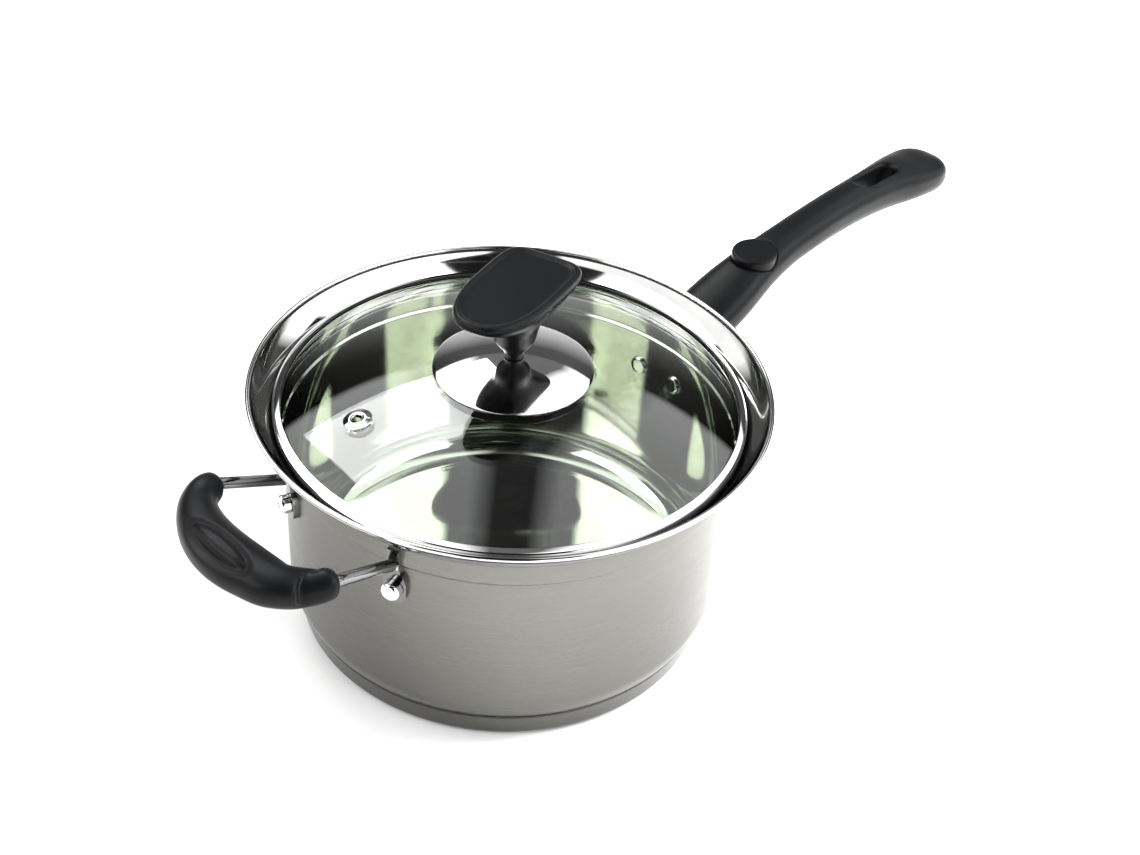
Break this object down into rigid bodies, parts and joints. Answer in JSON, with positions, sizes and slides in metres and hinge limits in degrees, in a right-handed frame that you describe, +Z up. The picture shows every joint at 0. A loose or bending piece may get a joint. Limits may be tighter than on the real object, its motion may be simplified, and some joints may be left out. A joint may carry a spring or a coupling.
{
  "type": "saucepan with glass lid",
  "caption": "Steel saucepan with a flared pouring rim, long handle, helper handle and a domed glass lid with knob and steam vent that lifts off.",
  "frame": {"origin": "centre of the flat underside of the base, on the surface it stands on", "axes": "+Z up along the pan's axis, +X out along the long handle, helper handle along -X"},
  "size_m": [0.4896, 0.2306, 0.1715],
  "materials": {
    "pan_steel": "fine horizontal brushing outside, mirror polish inside and on the flare",
    "base_steel": "fine turned brushing",
    "core_aluminium": "plain, enclosed",
    "bracket_steel": "polished",
    "rivet_steel": "polished",
    "rod_steel": "polished",
    "screw_steel": "bright",
    "washer_steel": "bright",
    "ring_steel": "mirror polish",
    "grommet_steel": "mirror polish",
    "shield_steel": "mirror polish",
    "handle_black": "satin black, very fine grain",
    "knob_black": "satin black, very fine grain",
    "badge_black": "satin black, plain",
    "lid_glass": "clear toughened glass with a slight green-grey tint",
    "seal_silicone": "matt translucent grey",
    "gasket_silicone": "matt translucent white",
    "insert_brass": "plain, enclosed"
  },
  "bodies": {
    "pan": {"pan_body": "pan_steel", "base_core": "core_aluminium", "base_cap": "base_steel", "long_handle_bracket": "bracket_steel", "long_handle_rivets": "rivet_steel", "long_handle_grip": "handle_black", "long_handle_badge": "badge_black", "long_handle_screw": "screw_steel", "helper_brackets": "bracket_steel", "helper_rod": "rod_steel", "helper_rivets": "rivet_steel", "helper_grip": "handle_black"},
    "lid": {"lid_glass": "lid_glass", "lid_seal": "seal_silicone", "lid_ring": "ring_steel", "vent_grommet": "grommet_steel", "knob_shield": "shield_steel", "knob_body": "knob_black", "knob_insert": "insert_brass", "knob_screw": "screw_steel", "knob_upper_gasket": "gasket_silicone", "knob_lower_gasket": "gasket_silicone", "knob_washer": "washer_steel"}
  },
  "joints": [
    {"name": "lid_lift", "type": "slide", "parent": "pan", "child": "lid", "axis": [0, 0, 1], "range_m": [0, 0.08]}
  ]
}
